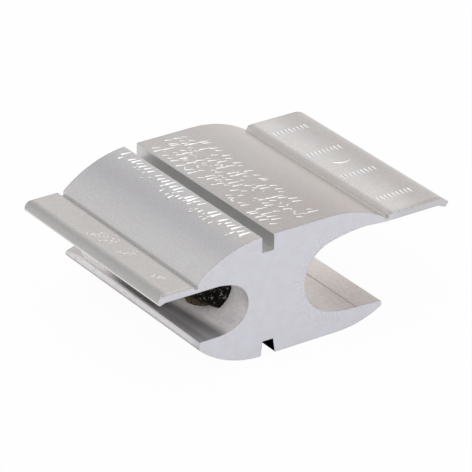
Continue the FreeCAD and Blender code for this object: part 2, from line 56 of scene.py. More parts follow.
MM = 0.001
BODY_LOW, BODY_HIGH = (Vector(corner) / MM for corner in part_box("tap_body"))
NEAR_END, FAR_END = BODY_LOW.y, BODY_HIGH.y

# Places on the profile that finishes and marks are laid out from, in millimetres.
CROWN_TOP, CROWN_RADIUS = 30.1, 28.5
SLOT_X = -10.5
CROWN_SLOT_HALF, CROWN_SLOT_Z = 1.74, (25.5, 30.0)
BASE_SLOT_HALF, BASE_SLOT_Z = 2.2, (0.05, 3.75)
# the run tab's second range spans the painted light on its top
RUN_TAB_TOP, RUN_TAB_LIT_X = 26.5, (23.7, 30.5)
TAP_TAB_TOP, TAP_TAB_X, TAP_LIP_X = 23.05, (-37.4, -30.9), -37.8
TAP_SEAT, TAP_SEAT_RADIUS = (-21.5, 14.7), 5.75
RUN_SEAT, RUN_SEAT_RADIUS = (8.75, 14.8), 9.15
TAP_GROOVE_X, TAP_GROOVE_Z = (-28.7, -15.4), (8.3, 21.2)
RUN_GROOVE_X, RUN_GROOVE_Z = -1.0, (4.0, 25.0)
FLANGE_X, FLANGE_Z = -28.3, (5.5, 8.6)
TAP_NOTCH_X, TAP_NOTCH_Z = (-30.7, -29.0), (21.8, 23.1)
RUN_NOTCH_X, RUN_NOTCH_Z = (21.7, 22.7), (25.1, 25.9)
# painted shade at the run tab's foot spans this range
RUN_FOOT_SHADE_X = (21.9, 23.8)
SHOULDER_X, SHOULDER_MIDDLE = (-29.1, -12.0), -20.6
CREASE_X, CREASE_Z = 14.2, (4.0, 6.0)
SAW_PIVOT = (-120.0, -95.0)

# Where the marks are stamped, in millimetres. Rows run towards the near end from MARKS_START.
MARKS_START = FAR_END - 3.2
CROWN_ROWS = (-6.5, -4.2, -1.9, 0.4, 2.7, 4.7)
CURL_ROWS = (-6.2, -3.4, -0.8, 1.8)
TICKS_X, TICKS_Y = 25.2, (20.4, -21.4)
NICK = ((27.6, 0.75), (28.3, -0.1), (29.3, -0.6), (30.6, -0.75), (32.3, -0.5))
PRICKS = ((-35.4, 6.4), (-34.7, 2.3), (-34.3, -4.6), (-34.9, -18.5))


# Sizes and colours.
class BodyLook(bpy.types.PropertyGroup):
    skin: FloatVectorProperty(name="Extruded skin", description="Colour of the extruded faces",
                              subtype="COLOR", size=3, min=0, max=1, default=(0.66, 0.638, 0.624))
    sawn: FloatVectorProperty(name="Sawn face", description="Colour of the two sawn ends",
                              subtype="COLOR", size=3, min=0, max=1, default=(0.70, 0.69, 0.735))
    line_pitch: FloatProperty(name="Die line pitch", description="Spacing of the fine lines along the length",
                              default=0.45 * MM, min=0.05 * MM, unit="LENGTH")
    line_depth: FloatProperty(name="Die line depth", description="How deep those lines look",
                              default=0.012 * MM, min=0, unit="LENGTH")
    # the burr width also sets the painted highlight round the near end and the painted shade round the far
    # end
    edge_width: FloatProperty(name="Saw burr width", description="Width of the bright edge round a sawn end",
                              default=0.16 * MM, min=0, unit="LENGTH")
    broken_edge: FloatProperty(name="Broken edge", description="Radius that every sharp edge seems worn to",
                               default=0.28 * MM, min=0, unit="LENGTH")


class MarkLook(bpy.types.PropertyGroup):
    rows: IntProperty(name="Rows", description="Rows of ticks along the run tab, one for each crimp",
                      default=4, min=1, max=12)
    count: IntProperty(name="Ticks in a row", description="Ticks stamped side by side in each row",
                       default=9, min=1, max=40)
    spacing: FloatProperty(name="Tick spacing", description="Distance between neighbouring ticks",
                           default=1.11 * MM, min=0.1 * MM, unit="LENGTH")
    length: FloatProperty(name="Tick length", description="Length of one tick",
                          default=2.3 * MM, min=0.1 * MM, unit="LENGTH")
    width: FloatProperty(name="Tick width", description="Width of one tick's raised rim",
                         default=0.56 * MM, min=0.05 * MM, unit="LENGTH")
    height: FloatProperty(name="Tick height", description="How far the raised rim stands proud",
                          default=0.17 * MM, min=0.01 * MM, unit="LENGTH")
    dash_length: FloatProperty(name="Dash length", description="Length of a dash across the crown",
                               default=2.6 * MM, min=0.1 * MM, unit="LENGTH")
    dash_width: FloatProperty(name="Dash width", description="Width of one dash's raised rim",
                              default=0.40 * MM, min=0.05 * MM, unit="LENGTH")
    dash_spacing: FloatProperty(name="Dash spacing", description="Distance between dashes along the crown",
                                default=1.6 * MM, min=0.1 * MM, unit="LENGTH")
    worn: FloatProperty(name="Worn away", description="Share of the dashes that have worn away",
                        default=0.42, min=0, max=1)
    seed: IntProperty(name="Seed", description="Seed of the small differences between marks",
                      default=5, min=0)


class BeadLook(bpy.types.PropertyGroup):
    lump: FloatProperty(name="Lumps", description="Height of the large lumps in the compound",
                        default=0.55 * MM, min=0, unit="LENGTH")
    lobe: FloatProperty(name="Lobe", description="How far a low lobe near the end has squeezed out",
                        default=0.7 * MM, min=0, unit="LENGTH")
    dent: FloatProperty(name="Dent", description="How far the open edge beside that lobe is pressed up",
                        default=1.4 * MM, min=0, unit="LENGTH")
    grain: FloatProperty(name="Grain", description="Height of the fine grain on the lumps",
                         default=0.24 * MM, min=0, unit="LENGTH")
    grit: FloatProperty(name="Grit density", description="Grains of grit on each square millimetre",
                        default=1.6, min=0, max=20)
    grit_size: FloatProperty(name="Grit size", description="Radius of the largest grain",
                             default=0.17 * MM, min=0.02 * MM, unit="LENGTH")
    seed: IntProperty(name="Seed", description="Seed of the lumps and the grit", default=11, min=0)


class StageLook(bpy.types.PropertyGroup):
    azimuth: FloatProperty(name="Azimuth", description="Camera angle round the connector",
                           default=math.radians(-34.072), subtype="ANGLE")
    elevation: FloatProperty(name="Elevation", description="Camera angle above the floor",
                             default=math.radians(26.732), subtype="ANGLE")
    roll: FloatProperty(name="Roll", description="Camera turn about its own axis",
                        default=math.radians(0.162), subtype="ANGLE")
    distance: FloatProperty(name="Distance", description="Camera to connector",
                            default=0.84611, min=0.1, unit="LENGTH")
    lens: FloatProperty(name="Lens", description="Focal length in millimetres on a 36 mm sensor",
                        default=278.1, min=20, max=800)
    floor_tone: FloatProperty(name="Floor tone", description="How pale the floor is",
                              default=0.82, min=0, max=1)
    room_light: FloatProperty(name="Room light", description="Strength of the soft light from all round",
                              default=0.80, min=0, max=3)
    mirror_light: FloatProperty(name="Mirrored light",
                                description="Brightness of the room that metal mirrors",
                                default=0.86, min=0, max=3)


# Shader maths.
class Field:
    """One output socket of a node tree, with arithmetic on it."""

    def __init__(self, paint, socket):
        self.paint, self.socket = paint, socket

    def _math(self, operation, *others):
        return self.paint.node("ShaderNodeMath", {"operation": operation},
                               {i: value for i, value in enumerate((self, *others))})

    def __add__(self, other):
        return self._math("ADD", other)

    __radd__ = __add__

    def __sub__(self, other):
        return self._math("SUBTRACT", other)

    def __rsub__(self, other):
        return self.paint.wrap(other)._math("SUBTRACT", self)

    def __mul__(self, other):
        return self._math("MULTIPLY", other)

    __rmul__ = __mul__

    def __neg__(self):
        return self * -1.0

    def __abs__(self):
        return self._math("ABSOLUTE")

    def power(self, exponent):
        return self._math("POWER", exponent)

    def above(self, limit, soft):
        """0 below the limit and 1 above it, with a soft step between."""
        return self.paint.node("ShaderNodeMapRange", {"interpolation_type": "SMOOTHSTEP"},
                               {"Value": self, "From Min": limit - soft, "From Max": limit + soft})

    def below(self, limit, soft):
        return 1.0 - self.above(limit, soft)

    def within(self, low, high, soft):
        return self.above(low, soft) * self.below(high, soft)


class Paint:
    """Builds one node tree, of a material or of the world."""

    def __init__(self, owner):
        self.owner = owner
        owner.use_nodes = True
        self.tree = owner.node_tree
        self.tree.nodes.clear()

    def wrap(self, value):
        return value if isinstance(value, Field) else self.node(
            "ShaderNodeMath", {"operation": "ADD"}, {0: float(value), 1: 0.0})

    def node(self, kind, settings=None, inputs=None, output=0):
        """A node of one kind: its settings first, then the values or links of its sockets."""
        made = self.tree.nodes.new(kind)
        for key, value in (settings or {}).items():
            setattr(made, key, value)
        for key, value in (inputs or {}).items():
            if isinstance(value, Field):
                self.tree.links.new(value.socket, made.inputs[key])
            else:
                made.inputs[key].default_value = value
        return Field(self, made.outputs[output])

    def parts(self, vector):
        split = self.node("ShaderNodeSeparateXYZ", {}, {0: vector}).socket.node
        return tuple(Field(self, out) for out in split.outputs)

    def place(self):
        """Object coordinates in millimetres: the vector, then its parts."""
        where = self.node("ShaderNodeVectorMath", {"operation": "SCALE"},
                          {0: self.node("ShaderNodeTexCoord", output="Object"), "Scale": 1000.0})
        return (where, *self.parts(where))

    def facing(self):
        """The parts of the surface normal along X, Y and Z."""
        return self.parts(self.node("ShaderNodeNewGeometry", output="Normal"))

    def stretched(self, where, x, y, z):
        """Coordinates scaled along each axis."""
        return self.node("ShaderNodeVectorMath", {"operation": "MULTIPLY"}, {0: where, 1: (x, y, z)})

    def noise(self, where, scale, detail=3.0, rough=0.55):
        return self.node("ShaderNodeTexNoise", {},
                         {"Vector": where, "Scale": scale, "Detail": detail, "Roughness": rough})

    def mix(self, factor, one, other, blend="MIX"):
        """A mix of two colours."""
        return self.node("ShaderNodeMix", {"data_type": "RGBA", "blend_type": blend}, {
            0: factor, 6: one if isinstance(one, Field) else (*one, 1.0),
            7: other if isinstance(other, Field) else (*other, 1.0)}, 2)

    def over(self, colour, *layers):
        """Layers laid over a colour in turn: each has a mask, its own colour and maybe a blend."""
        for mask, layer, *blend in layers:
            colour = self.mix(mask, colour, layer, *blend)
        return colour

    def bump(self, height, strength, distance, after=None):
        inputs = {"Height": height, "Strength": strength, "Distance": distance}
        if after is not None:
            inputs["Normal"] = after
        return self.node("ShaderNodeBump", {}, inputs)

    def surface(self, shader, kind="ShaderNodeOutputMaterial"):
        end = self.tree.nodes.new(kind)
        self.tree.links.new(shader.socket, end.inputs["Surface"])
        return self.owner

    def principled(self, **sockets):
        return self.surface(self.node("ShaderNodeBsdfPrincipled", {}, {
            name.replace("_", " "): value for name, value in sockets.items()}))


def shade(colour, factor):
    return tuple(part * factor for part in colour)


def tint(colour, red, green, blue):
    return colour[0] * red, colour[1] * green, colour[2] * blue


def distance(x, z, centre):
    """How far each point is from a line along Y, in millimetres."""
    across, up = x - centre[0], z - centre[1]
    return (across * across + up * up).power(0.5)


def outer_skin(p, place, skin, drawn):
    """Colour of the skin that the crimping dies press on: the crown, the tap shoulder and both tabs."""
    where, x, y, z = place
    streaks = p.noise(p.stretched(where, 1.0, 0.014, 1.0), 0.16, 2.0)
    cloud = p.noise(where, 0.09, 3.0)
    plain = p.mix(streaks.within(0.4, 0.9, 0.15), shade(skin, 0.96), skin)
    plain = p.mix(drawn.within(0.46, 0.56, 0.05) * 0.45, shade(skin, 0.90), plain)
    crown = (x - SLOT_X).above(1.0, 0.5) * z.above(RUN_TAB_TOP - 0.6, 0.3) * x.below(22.0, 0.4)
    shoulder = x.within(*SHOULDER_X, 0.3) * z.above(TAP_TAB_TOP + 0.1, 0.2)
    tap_tab = x.within(*TAP_TAB_X, 0.4) * z.above(TAP_TAB_TOP - 0.3, 0.1)
    lit_from, lit_to = RUN_TAB_LIT_X
    lit_run_tab = x.above(lit_from, 0.7) * x.below(lit_to, 4.5) * z.above(RUN_TAB_TOP - 0.4, 0.2)
    run_foot_shade = x.within(*RUN_FOOT_SHADE_X, 0.9) * z.above(RUN_TAB_TOP - 1.4, 0.2)
    return p.over(
        plain,
        (cloud.above(0.52, 0.12) * 0.5, tint(skin, 1.0, 0.96, 0.94)),
        # painted shade darkens the crown towards the near end and a little at its far left, and the crown
        # warms towards the run tab
        (crown * y.above(14.0, 18.0) * x.below(6.0, 8.0), tint(skin, 0.95, 0.94, 0.94)),
        (crown * y.below(-2.0, 24.0), tint(skin, 0.85, 0.82, 0.81)),
        (crown * x.above(12.0, 5.0) * 0.5, tint(skin, 0.98, 0.92, 0.89)),
        # the tap shoulder is cool, with painted shade down its middle and painted light, a little warm,
        # beside the slot's near half
        (shoulder, tint(skin, 1.03, 1.05, 1.08)),
        (shoulder * abs(x - SHOULDER_MIDDLE).below(3.6, 3.4) * 0.85, tint(skin, 0.85, 0.88, 0.94)),
        (shoulder * x.above(-17.5, 2.5) * y.below(-6.0, 14.0) * 0.7, tint(skin, 1.03, 1.01, 0.99)),
        (tap_tab, tint(skin, 1.02, 1.01, 1.0)),
        # painted light brightens the run tab's inner half, fading outwards, and painted shade darkens its
        # foot
        (lit_run_tab * 0.9, tint(skin, 1.24, 1.25, 1.25)),
        (run_foot_shade, tint(skin, 0.92, 0.905, 0.895)))


def run_groove_floor(p, place, skin):
    """The run groove's mask and its pitted colour, with painted shade towards the near end and painted light
    towards the far end.
    """
    where, x, y, z = place
    groove = x.above(RUN_GROOVE_X, 0.5) * z.within(*RUN_GROOVE_Z, 0.2)
    pitted = p.noise(p.stretched(where, 1.0, 0.6, 1.0), 1.3, 5.0, 0.7)
    near = p.mix(pitted.above(0.50, 0.08), tint(skin, 0.97, 0.92, 0.91), tint(skin, 0.86, 0.83, 0.82))
    far = p.mix(pitted.above(0.54, 0.06), tint(skin, 1.30, 1.27, 1.27), tint(skin, 1.16, 1.12, 1.12))
    return groove, p.mix(y.above(-13.0, 13.0), near, far)


def in_tap_groove(p, place, skin, colour):
    """The tap groove is matt: streaks along a grey floor with painted shade further in, and a seat painted
    near white as painted light.
    """
    where, x, y, z = place
    groove = x.within(*TAP_GROOVE_X, 0.3) * z.within(*TAP_GROOVE_Z, 0.1)
    # the streaks run a little askew to the length
    along = x + y * 0.09
    seat = groove * along.above(-24.4, 1.6)
    drag = p.noise(p.stretched(where, 1.0, 0.07, 1.0), 0.46, 3.0, 0.5)
    streak = drag.within(0.40, 0.56, 0.06)
    outer = p.mix(streak, tint(skin, 0.72, 0.73, 0.77), tint(skin, 0.90, 0.92, 0.96))
    inner = p.mix(streak, tint(skin, 0.46, 0.47, 0.50), tint(skin, 0.62, 0.64, 0.67))
    # painted shade: the floor is darker further in from its open edge
    floor = p.mix(along.above(-27.0, 1.6), outer, inner)
    deep = p.mix(drag.above(0.5, 0.1), (1.0, 0.97, 0.965), (0.95, 0.925, 0.93))
    mouth = p.mix(drag.above(0.5, 0.1), (0.80, 0.775, 0.785), (0.74, 0.72, 0.735))
    under_lip = groove * x.below(-24.8, 1.5)
    flecks = p.noise(where, 1.0, 4.0, 0.65)
    colour = p.over(
        colour,
        (groove, floor),
        # the seat is painted near white as painted light, with painted shade at its mouth near the near end
        (seat, p.mix(y.below(-23.5, 3.0), deep, mouth)),
        # painted shadow under the tab darkens the floor half way along, and painted light brightens it at the
        # far end
        (under_lip * y.within(-9.0, 7.0, 4.0) * 0.92, shade(skin, 0.22)),
        (under_lip * y.above(11.0, 4.0) * 0.95, (0.98, 0.94, 0.93)),
        (seat * flecks.above(0.51, 0.06) * 0.7, (1.12, 1.07, 1.07), "MULTIPLY"),
        (seat * flecks.below(0.45, 0.05) * 0.6, (0.90, 0.90, 0.91), "MULTIPLY"),
        # painted shade darkens the seat's roof and side close to the near end
        (seat * y.below(NEAR_END + 2.6, 2.4) * z.above(14.0, 2.5) * 0.55, shade(skin, 0.62)),
        (seat * y.below(NEAR_END + 1.2, 1.6) * z.above(10.5, 1.5) * 0.7, (0.76, 0.76, 0.77), "MULTIPLY"))
    return groove, seat, colour


def on_tap_flange(p, place, skin, colour):
    """The tap flange's edge: a painted highlight on its face, painted shadow along its top corner and close
    to the near end, dirt towards the far end, and painted shade along a line low on it.
    """
    where, x, y, z = place
    edge = x.below(FLANGE_X, 0.2)
    flange = edge * z.within(*FLANGE_Z, 0.1)
    dirt = p.noise(p.stretched(where, 1.0, 0.35, 1.0), 1.1, 4.0, 0.7).above(0.57, 0.05)
    return p.over(
        colour,
        # painted highlight on the flange's face
        (flange * z.above(6.9, 0.5), tint(skin, 1.14, 1.17, 1.22)),
        # painted shadow along the top corner under the tab, and close to the near end
        (flange * z.above(8.05, 0.35) * y.below(6.0, 10.0) * 0.8, (0.74, 0.74, 0.74), "MULTIPLY"),
        (flange * y.below(NEAR_END + 2.4, 2.0) * 0.8, (0.74, 0.73, 0.74), "MULTIPLY"),
        (flange * y.above(-6.0, 8.0) * dirt * 0.3, (0.40, 0.34, 0.31)),
        # painted shade along a line low on the edge
        (edge * z.within(6.2, 6.7, 0.12) * 0.5, shade(skin, 0.35)))


def sawn_face(p, place, face, saw, torn):
    """The sawn ends: bands from the saw, a broad mottle, and torn specks near the run groove."""
    where, x, _, z = place
    mottle = p.noise(p.stretched(where, 1.0, 0.0, 1.0), 0.35, 4.0, 0.6)
    frayed = distance(x, z, RUN_SEAT).below(RUN_SEAT_RADIUS + 3.0, 2.5) * 0.75 + 0.15
    return p.over(
        face,
        (saw.within(0.3, 0.8, 0.2) * 0.5, shade(face, 0.95)),
        (mottle.above(0.5, 0.15) * 0.5, tint(face, 1.03, 1.06, 1.10)),
        (x.above(24.5, 3.0) * 0.7, tint(face, 0.84, 0.84, 0.80)),
        (torn.above(0.56, 0.03) * frayed, shade(face, 0.86)),
        (torn.below(0.42, 0.03) * frayed, shade(face, 1.10)))


def aluminium(look):
    """Extruded skin with lines along the length, and sawn ends with arcs left by the saw."""
    p = Paint(bpy.data.materials.new("extruded_aluminium"))
    place = where, x, y, z = p.place()
    worn = p.node("ShaderNodeBevel", {"samples": 6}, {"Radius": look.broken_edge})
    _, bent, _ = p.parts(worn)
    _, facing_end, _ = p.facing()
    end = abs(bent).above(0.80, 0.12) * abs(facing_end).above(0.6, 0.1)
    side = 1.0 - end

    # fine and broad lines that the die leaves along the whole length, and a fine grain
    lines = p.noise(p.stretched(where, 1.0, 0.006, 1.0), 0.9 * MM / look.line_pitch, 4.0, 0.6)
    drawn = p.noise(p.stretched(where, 1.0, 0.02, 1.0), 1.1, 3.0, 0.7)
    grain = p.noise(where, 2.1, 3.0, 0.7)

    # saw arcs sweep across the ends, and their edges are torn
    flat = p.stretched(where, 1.0, 0.0, 1.0)
    sweep = distance(x, z, SAW_PIVOT) + p.noise(flat, 0.5, 2.0) * 0.3
    saw = p.node("ShaderNodeTexNoise", {"noise_dimensions": "1D"},
                 {"W": sweep, "Scale": 3.2, "Detail": 3.0, "Roughness": 0.7})
    torn = p.noise(flat, 1.9, 4.0, 0.7)

    skin, face = tuple(look.skin), tuple(look.sawn)
    run_groove, pitted = run_groove_floor(p, place, skin)
    rounded = x.below(TAP_LIP_X, 0.9) * z.above(20.5, 0.2)
    warm = p.over(
        outer_skin(p, place, skin, drawn),
        # the run groove's pitted floor, with its painted shade and painted light
        (run_groove, pitted),
        # painted shade on the tap tab's rounded edge
        (rounded * 0.95, tint(skin, 0.73, 0.75, 0.75)))
    tap_groove, seat, warm = in_tap_groove(p, place, skin, warm)
    warm = on_tap_flange(p, place, skin, warm)

    # over all of it: pinkish patches a few millimetres across, and the grain
    patch = p.noise(p.stretched(where, 1.0, 0.5, 1.0), 0.33, 4.0, 0.6)
    outside = 1.0 - tap_groove * 0.7 - run_groove * 0.6
    warm = p.over(
        warm,
        (patch.above(0.53, 0.08) * outside * 0.6, (1.01, 0.97, 0.965), "MULTIPLY"),
        (grain.above(0.54, 0.05) * outside * 0.6, (1.08, 1.08, 1.08), "MULTIPLY"),
        (grain.below(0.44, 0.05) * outside * 0.6, (0.91, 0.91, 0.91), "MULTIPLY"))

    # burr with a painted highlight round the near sawn end and along the tip of the tap tab; painted shade on
    # the far end's edge
    burr = FAR_END - look.edge_width / MM
    rim = (-y).above(burr, 0.05) * side
    ragged = (-y).above(burr - 0.35, 0.2) * side * torn.above(0.5, 0.06)
    tips = x.below(BODY_LOW.x + 0.75, 0.1) * z.below(21.3, 0.12) * side
    bright = rim * 0.25 + tips * 0.65

    # painted shadow fills the base slot, and the run groove's crease is painted dark; the crown slot and the
    # notches are matt
    from_slot = abs(x - SLOT_X)
    base_slot = from_slot.below(BASE_SLOT_HALF, 0.1) * z.within(*BASE_SLOT_Z, 0.1) * side
    crown_slot = from_slot.below(CROWN_SLOT_HALF, 0.08) * z.within(*CROWN_SLOT_Z, 0.1) * side
    crease = abs(x - CREASE_X).below(0.22, 0.2) * z.within(*CREASE_Z, 0.1) * side
    tap_notch = x.within(*TAP_NOTCH_X, 0.1) * z.within(*TAP_NOTCH_Z, 0.1) * side
    run_notch = x.within(*RUN_NOTCH_X, 0.35) * z.within(*RUN_NOTCH_Z, 0.25) * side
    notch_end_darkening = x.within(21.9, 22.9, 0.35) * y.below(NEAR_END + 0.5, 0.3) * z.within(25.2, 26.1, 0.3)
    colour = p.over(
        p.mix(end, warm, sawn_face(p, place, face, saw, torn)),
        (ragged * 0.4, shade(skin, 0.62)),
        # burr with a painted highlight
        (bright, (0.93, 0.93, 0.93)),
        # painted shade along the far end's edge
        (y.above(burr - 0.1, 0.08) * side * 0.45, shade(skin, 0.55)),
        # the run groove's crease is painted dark
        (crease * 0.7, (0.33, 0.29, 0.275)),
        (run_notch * 0.85, (0.64, 0.62, 0.605)),
        # the run notch is painted darker at its near end
        (notch_end_darkening * 0.6, shade(skin, 0.4)),
        (crown_slot, tint(skin, 1.0, 1.03, 1.04)),
        (tap_notch, (0.70, 0.695, 0.69)),
        # painted shade along the tap notch's root
        (tap_notch * z.below(22.15, 0.08) * 0.6, shade(skin, 0.5)))

    matt = crown_slot * 0.2 + tap_notch * 0.7 + run_notch * 0.6
    relief = p.bump(lines * side, 0.35, look.line_depth, worn)
    relief = p.bump(drawn * side, 0.30, 0.03 * MM, relief)
    relief = p.bump(saw * end, 0.25, 0.02 * MM, relief)
    relief = p.bump(grain, 0.10, 0.02 * MM, relief)
    metal = p.node("ShaderNodeBsdfPrincipled", {}, {
        "Base Color": colour, "Normal": relief,
        "Roughness": 0.26 + lines * 0.10 + end * 0.12 - bright * 0.1 + tap_groove * 0.12,
        "Metallic": 1.0 - tap_groove * 0.5 - seat * 0.4 - end * 0.1 - matt})
    # painted shadow: a near-black matt sheet in the base slot
    slot_shadow = p.node("ShaderNodeBsdfDiffuse", {}, {"Color": (0.004, 0.004, 0.003, 1.0)})
    return p.surface(p.node("ShaderNodeMixShader", {}, {0: base_slot, 1: metal, 2: slot_shadow}))


def stamped_rim():
    """Freshly displaced metal on the rims of marks, and the shade beside each rim."""
    known = bpy.data.materials.get("stamped_rim")
    if known:
        return known
    p = Paint(bpy.data.materials.new("stamped_rim"))
    where, *_ = p.place()
    fine = p.noise(where, 6.0, 2.0)
    _, _, flat = p.facing()
    colour = p.mix(fine, (0.92, 0.91, 0.90), (1.0, 1.0, 1.0))
    colour = p.mix(flat.above(0.993, 0.004) * 0.8, colour, (0.36, 0.35, 0.34))
    return p.principled(Base_Color=colour, Metallic=0.6, Roughness=0.25 + fine * 0.2,
                        Normal=p.bump(fine, 0.3, 0.02 * MM))


def compound():
    """Near-black, wet-looking grease, with painted olive glints mostly high up and a brown band low on its
    left.
    """
    p = Paint(bpy.data.materials.new("joint_compound"))
    where, x, _, z = p.place()
    broad = p.noise(where, 0.55, 3.0)
    fine = p.noise(where, 2.4, 4.0, 0.65)
    specks = p.noise(where, 1.15, 5.0, 0.75)
    low_brown = x.below(-19.4, 0.9) * z.below(11.2, 0.8) * fine.above(0.44, 0.06)
    # painted glints, mostly high up
    glint = specks.above(0.60, 0.02) * z.above(12.0, 1.6) + specks.above(0.64, 0.02) * 0.7
    colour = p.over(
        p.mix(broad.above(0.5, 0.15), (0.001, 0.001, 0.001), (0.007, 0.006, 0.004)),
        (low_brown * 0.85, (0.125, 0.105, 0.065)),
        (glint, (0.40, 0.38, 0.31)))
    wet = p.bump(fine, 0.8, 0.14 * MM, p.bump(broad, 0.5, 0.4 * MM))
    return p.principled(Base_Color=colour, Metallic=0.0, Roughness=0.35 + broad * 0.3, Normal=wet,
                        Specular_IOR_Level=0.06)


def grit():
    """Grains of the compound: most of them coated dark, a few with bare pale faces."""
    p = Paint(bpy.data.materials.new("compound_grit"))
    where, *_ = p.place()
    bare = p.noise(where, 1.4, 2.0)
    colour = p.mix(bare.above(0.64, 0.03), (0.007, 0.006, 0.004), (0.17, 0.16, 0.12))
    return p.principled(Base_Color=colour, Roughness=0.35 + bare * 0.3)


# Pieces.
def keep(piece):
    """A finished piece rides on the body."""
    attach(piece, "root")
    return piece


def link(name, mesh, material=None):
    piece = bpy.data.objects.new(name, mesh)
    bpy.context.scene.collection.objects.link(piece)
    if material:
        mesh.materials.clear()
        mesh.materials.append(material)
    return piece


class NodeGrowth:
    """A geometry tree with named inputs, run once on a carrier and kept as a plain mesh."""

    def __init__(self, name):
        self.tree = bpy.data.node_groups.new(name, "GeometryNodeTree")
        self.tree.interface.new_socket(name="Geometry", in_out="OUTPUT", socket_type="NodeSocketGeometry")
        self.source = self.tree.nodes.new("NodeGroupInput")
        self.values = {}

    def input(self, name, kind, value):
        socket = self.tree.interface.new_socket(name=name, in_out="INPUT", socket_type=kind)
        self.values[socket.identifier] = value
        return next(out for out in self.source.outputs if out.identifier == socket.identifier)

    def node(self, kind, settings=None, inputs=None, output=0):
        made = self.tree.nodes.new(kind)
        for key, value in (settings or {}).items():
            setattr(made, key, value)
        for key, value in (inputs or {}).items():
            if isinstance(value, bpy.types.NodeSocket):
                self.tree.links.new(value, made.inputs[key])
            else:
                made.inputs[key].default_value = value
        return made.outputs[output]

    def harvest(self, name, geometry, material):
        """Realize, set the material, evaluate on an empty carrier and return the plain piece."""
        real = self.node("GeometryNodeRealizeInstances", {}, {0: geometry})
        done = self.node("GeometryNodeSetMaterial", {}, {0: real, "Material": material})
        end = self.tree.nodes.new("NodeGroupOutput")
        self.tree.links.new(done, end.inputs[0])
        carrier = link(name + "_carrier", bpy.data.meshes.new(name + "_carrier"))
        modifier = carrier.modifiers.new(name, "NODES")
        modifier.node_group = self.tree
        for identifier, value in self.values.items():
            modifier[identifier] = value
        graph = bpy.context.evaluated_depsgraph_get()
        mesh = bpy.data.meshes.new_from_object(carrier.evaluated_get(graph))
        carrier.modifiers.remove(modifier)
        bpy.data.objects.remove(carrier)
        if not mesh.polygons:
            raise RuntimeError(f"{name} grew nothing")
        mesh.name = name
        return link(name, mesh, material)


def ridge(name, path, swells, width, height):
    """A stamped rim along a path on a flat: two flanks, and a flat shaded strip on its right."""
    profile = ((-0.72, -0.25), (0.0, 1.0), (0.30, 0.12), (0.32, 0.10), (0.74, 0.10), (0.78, -0.25))
    crest = 0.2
    points, faces = [], []
    for i, (spot, swell) in enumerate(zip(path, swells)):
        ahead = path[min(i + 1, len(path) - 1)] - path[max(i - 1, 0)]
        right = ahead.cross(Vector((0, 0, 1))).normalized()
        for beside, lift in profile:
            rise = lift * swell if lift > crest else lift
            points.append(spot + right * beside * width * max(swell, 0.05) + Vector((0, 0, rise * height)))
    n = len(profile)
    for i in range(len(path) - 1):
        for j in range(n):
            k = (j + 1) % n
            faces.append((n * i + j, n * i + n + j, n * i + n + k, n * i + k))
    faces.append(tuple(range(n)))
    faces.append(tuple(reversed(range(n * len(path) - n, n * len(path)))))
    mesh = bpy.data.meshes.new(name)
    mesh.from_pydata(points, [], faces)
    work = bmesh.new()
    work.from_mesh(mesh)
    bmesh.ops.recalc_face_normals(work, faces=work.faces)
    work.to_mesh(mesh)
    work.free()
    return mesh


def straight_ridge(name, length, width, height):
    """One straight mark along Y, tallest near its far end."""
    path = [Vector((0, along * length / 2, 0)) for along in (-1.0, -0.6, 0.0, 0.5, 0.86, 1.0)]
    return link(name, ridge(name, path, (0.1, 0.55, 0.75, 1.0, 1.0, 0.15), width, height))


def curled_ridge(name, length, width, height):
    """One mark bent into most of a half circle."""
    radius = 0.3 * length
    path = [Vector((radius * math.cos(bend), radius * math.sin(bend), 0))
            for bend in (math.radians(step * 30.0) for step in range(-1, 6))]
    return link(name, ridge(name, path, (0.15, 0.7, 1.0, 0.9, 0.9, 0.6, 0.15), width, height))


def mark_field(name, shape, starts, step, count, turn, worn, seed):
    """Marks in straight rows: each row starts at one point and repeats by one step."""
    growth = NodeGrowth(name)
    step_in = growth.input("Step", "NodeSocketVector", step)
    count_in = growth.input("Count", "NodeSocketInt", count)
    turn_in = growth.input("Turn", "NodeSocketVector", turn)
    kept_in = growth.input("Kept", "NodeSocketFloat", 1.0 - worn)
    seed_in = growth.input("Seed", "NodeSocketInt", seed)
    shape_in = growth.input("Shape", "NodeSocketObject", shape)
    rows = growth.node("GeometryNodeJoinGeometry")
    for spot in starts:
        line = growth.node("GeometryNodeMeshLine", {"mode": "OFFSET"},
                           {"Count": count_in, "Start Location": spot, "Offset": step_in})
        growth.tree.links.new(line, rows.node.inputs[0])
    # the more a field has worn, the more its marks stray, lean and differ in size
    loose, slant = (0.03 + 0.9 * worn) * MM, 0.07 + 0.5 * worn
    wander = growth.node("FunctionNodeRandomValue", {"data_type": "FLOAT_VECTOR"}, {
        "Min": (-loose, -loose, 0.0), "Max": (loose, loose, 0.0), "Seed": seed_in})
    moved = growth.node("GeometryNodeSetPosition", {}, {"Geometry": rows, "Offset": wander})
    item = growth.node("GeometryNodeObjectInfo", {}, {"Object": shape_in}, "Geometry")
    lean = growth.node("FunctionNodeRandomValue", {"data_type": "FLOAT"},
                       {2: -slant, 3: slant, "Seed": seed_in}, 1)
    spin = growth.node("ShaderNodeVectorMath", {"operation": "ADD"}, {
        0: turn_in, 1: growth.node("ShaderNodeCombineXYZ", {}, {"Z": lean})})
    grow = growth.node("FunctionNodeRandomValue", {"data_type": "FLOAT"},
                       {2: 0.9 - worn, 3: 1.1 + 0.4 * worn, "Seed": seed_in}, 1)
    spin = growth.node("FunctionNodeEulerToRotation", {}, {0: spin})
    kept = growth.node("FunctionNodeRandomValue", {"data_type": "BOOLEAN"},
                       {"Probability": kept_in, "Seed": seed_in}, 3)
    placed = growth.node("GeometryNodeInstanceOnPoints", {}, {
        "Points": moved, "Selection": kept, "Instance": item, "Rotation": spin, "Scale": grow})
    return keep(growth.harvest(name, placed, stamped_rim()))


